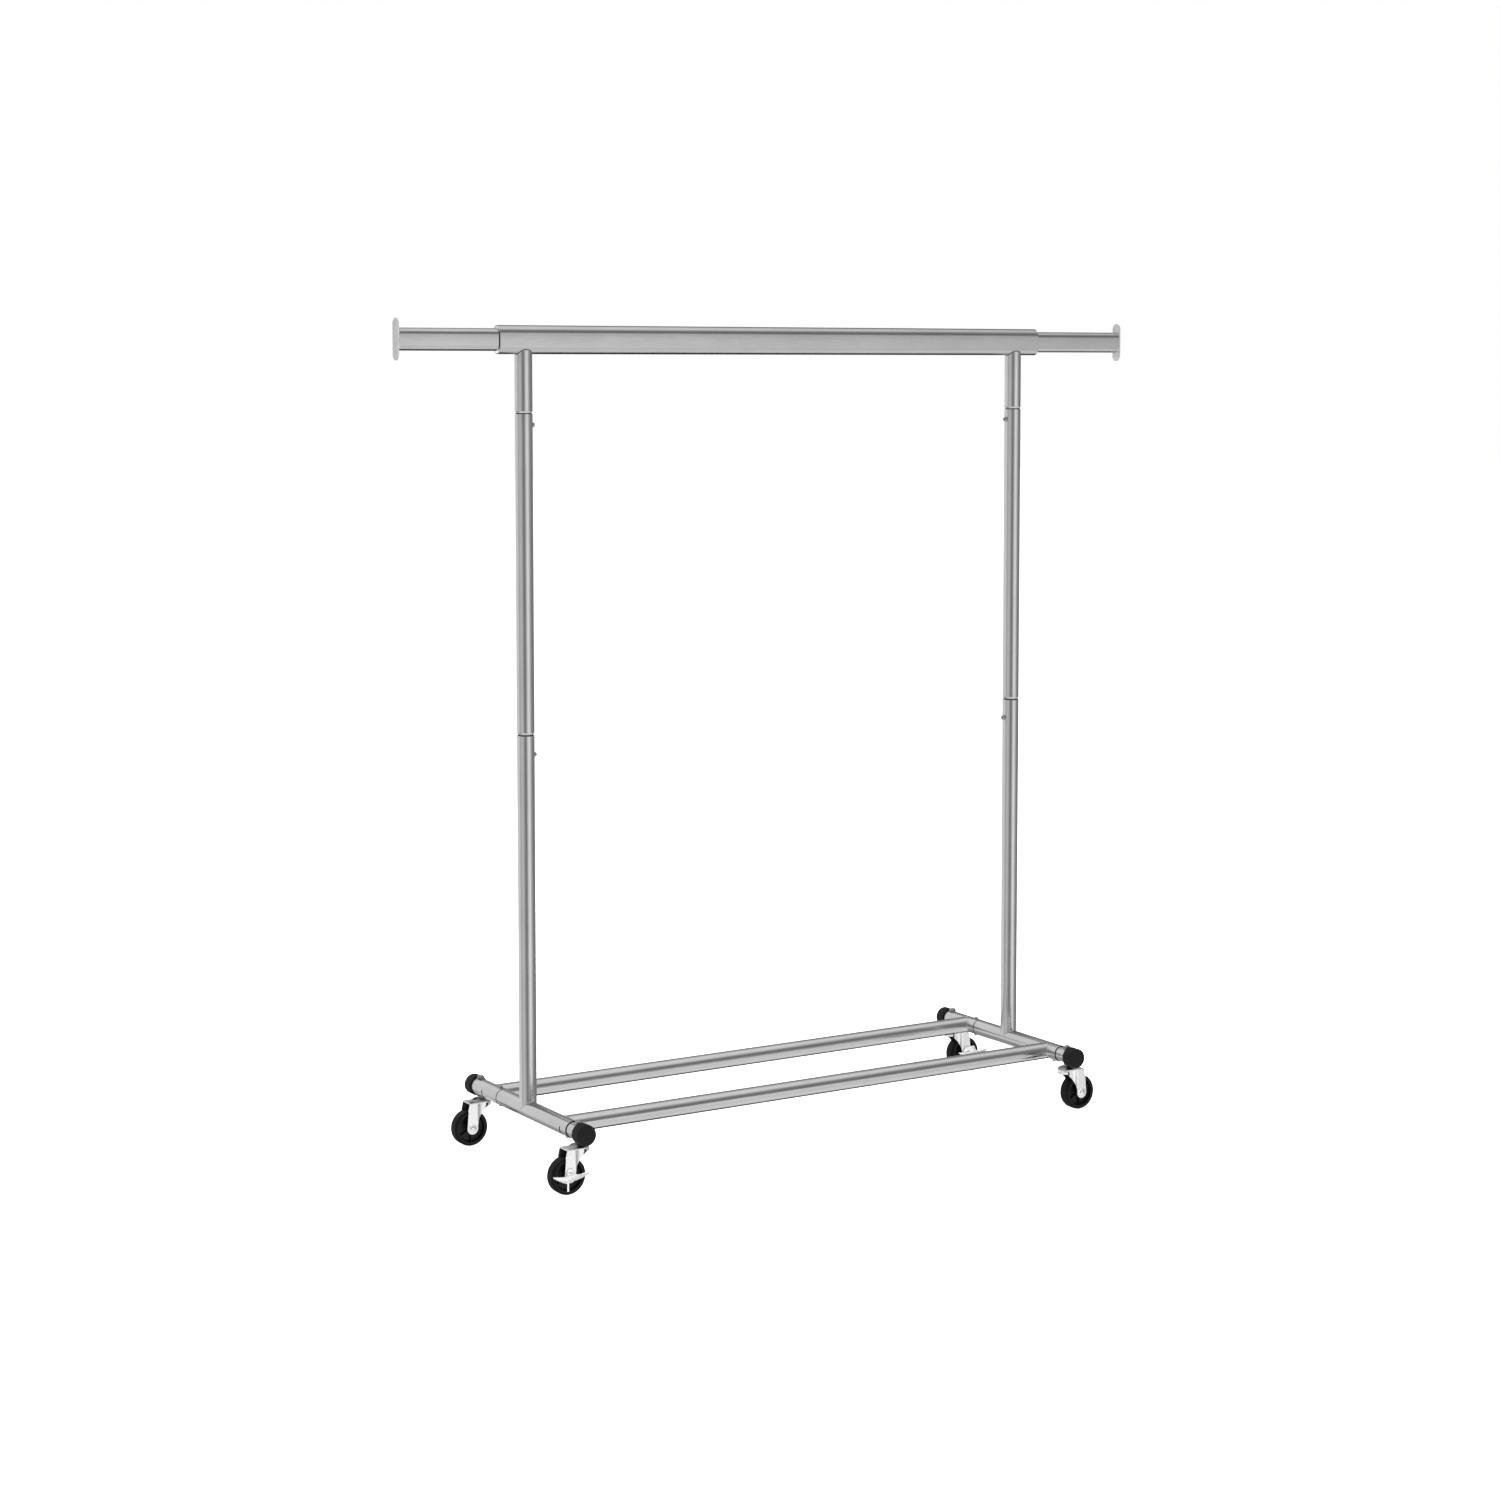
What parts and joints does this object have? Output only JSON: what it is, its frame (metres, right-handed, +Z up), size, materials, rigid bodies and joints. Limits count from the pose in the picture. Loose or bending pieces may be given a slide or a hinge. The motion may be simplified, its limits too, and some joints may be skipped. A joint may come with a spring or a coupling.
{
  "type": "rolling clothes rack",
  "caption": "Steel rolling clothes rack with a telescoping flat oval hanging bar, bolted uprights, a double-rail base and swivel casters with brake pedals.",
  "frame": {"origin": "on the floor, below the middle of the hanging bar's fixed tube and the middle of the base", "axes": "+X to the right along the hanging bar, +Y to the back, +Z up; the brake pedals face the front"},
  "size_m": [1.6735, 0.47, 1.612],
  "materials": {
    "frame_tube": "satin chrome plate on steel tube",
    "end_plate": "fine brushed plate",
    "caster_steel": "bright zinc or chrome pressing",
    "fastener": "zinc plated",
    "cap_plastic": "matt black moulding",
    "bush_plastic": "light grey moulding",
    "wheel_black": "hard black wheel, satin"
  },
  "bodies": {
    "frame": {"front_rail": "frame_tube", "rear_rail": "frame_tube", "hanging_bar": "frame_tube", "left_side_tube": "frame_tube", "left_rear_sleeve": "frame_tube", "left_front_stub": "frame_tube", "left_front_cap": "cap_plastic", "left_rear_cap": "cap_plastic", "left_sleeve_bolt": "fastener", "left_stop_bolt": "fastener", "left_lower_upright": "frame_tube", "left_upper_upright": "frame_tube", "left_bar_stub": "frame_tube", "left_lower_bolt": "fastener", "left_upper_bolt": "fastener", "left_bar_bush": "bush_plastic", "right_side_tube": "frame_tube", "right_rear_sleeve": "frame_tube", "right_front_stub": "frame_tube", "right_front_cap": "cap_plastic", "right_rear_cap": "cap_plastic", "right_sleeve_bolt": "fastener", "right_stop_bolt": "fastener", "right_lower_upright": "frame_tube", "right_upper_upright": "frame_tube", "right_bar_stub": "frame_tube", "right_lower_bolt": "fastener", "right_upper_bolt": "fastener", "right_bar_bush": "bush_plastic", "front_left_stem": "fastener", "front_left_stem_nut": "fastener", "front_left_swivel_race": "caster_steel", "front_right_stem": "fastener", "front_right_stem_nut": "fastener", "front_right_swivel_race": "caster_steel", "rear_left_stem": "fastener", "rear_left_stem_nut": "fastener", "rear_left_swivel_race": "caster_steel", "rear_right_stem": "fastener", "rear_right_stem_nut": "fastener", "rear_right_swivel_race": "caster_steel"},
    "left_extension": {"left_extension_tube": "frame_tube", "left_end_plate": "end_plate"},
    "right_extension": {"right_extension_tube": "frame_tube", "right_end_plate": "end_plate"},
    "front_left_swivel": {"front_left_fork": "caster_steel", "front_left_axle": "fastener"},
    "front_left_rolling_wheel": {"front_left_wheel": "wheel_black"},
    "front_right_swivel": {"front_right_fork": "caster_steel", "front_right_axle": "fastener"},
    "front_right_rolling_wheel": {"front_right_wheel": "wheel_black"},
    "rear_left_swivel": {"rear_left_fork": "caster_steel", "rear_left_axle": "fastener"},
    "rear_left_rolling_wheel": {"rear_left_wheel": "wheel_black"},
    "rear_right_swivel": {"rear_right_fork": "caster_steel", "rear_right_axle": "fastener"},
    "rear_right_rolling_wheel": {"rear_right_wheel": "wheel_black"},
    "front_left_brake": {"front_left_brake_pedal": "caster_steel"},
    "rear_right_brake": {"rear_right_brake_pedal": "caster_steel"}
  },
  "joints": [
    {"name": "left_extension_slide", "type": "slide", "parent": "frame", "child": "left_extension", "axis": [-1, 0, 0], "range_m": [-0.2, 0.09]},
    {"name": "right_extension_slide", "type": "slide", "parent": "frame", "child": "right_extension", "axis": [1, 0, 0], "range_m": [-0.213, 0.077]},
    {"name": "front_left_swivel_turn", "type": "hinge", "parent": "frame", "child": "front_left_swivel", "pos_m": [-0.569, -0.2015, 0.086], "axis": [0, 0, 1], "continuous": true},
    {"name": "front_left_wheel_spin", "type": "hinge", "parent": "front_left_swivel", "child": "front_left_rolling_wheel", "pos_m": [-0.595, -0.2015, 0.0355], "axis": [0, 1, 0], "continuous": true},
    {"name": "front_right_swivel_turn", "type": "hinge", "parent": "frame", "child": "front_right_swivel", "pos_m": [0.569, -0.2015, 0.086], "axis": [0, 0, 1], "continuous": true},
    {"name": "front_right_wheel_spin", "type": "hinge", "parent": "front_right_swivel", "child": "front_right_rolling_wheel", "pos_m": [0.595, -0.2015, 0.0355], "axis": [0, 1, 0], "continuous": true},
    {"name": "rear_left_swivel_turn", "type": "hinge", "parent": "frame", "child": "rear_left_swivel", "pos_m": [-0.569, 0.2015, 0.086], "axis": [0, 0, 1], "continuous": true},
    {"name": "rear_left_wheel_spin", "type": "hinge", "parent": "rear_left_swivel", "child": "rear_left_rolling_wheel", "pos_m": [-0.595, 0.2015, 0.0355], "axis": [0, 1, 0], "continuous": true},
    {"name": "rear_right_swivel_turn", "type": "hinge", "parent": "frame", "child": "rear_right_swivel", "pos_m": [0.569, 0.2015, 0.086], "axis": [0, 0, 1], "continuous": true},
    {"name": "rear_right_wheel_spin", "type": "hinge", "parent": "rear_right_swivel", "child": "rear_right_rolling_wheel", "pos_m": [0.595, 0.2015, 0.0355], "axis": [0, 1, 0], "continuous": true},
    {"name": "front_left_brake_press", "type": "hinge", "parent": "front_left_swivel", "child": "front_left_brake", "pos_m": [-0.595, -0.2015, 0.0355], "axis": [0, 1, 0], "range_deg": [-12, 12]},
    {"name": "rear_right_brake_press", "type": "hinge", "parent": "rear_right_swivel", "child": "rear_right_brake", "pos_m": [0.595, 0.2015, 0.0355], "axis": [0, 1, 0], "range_deg": [-12, 12]}
  ]
}
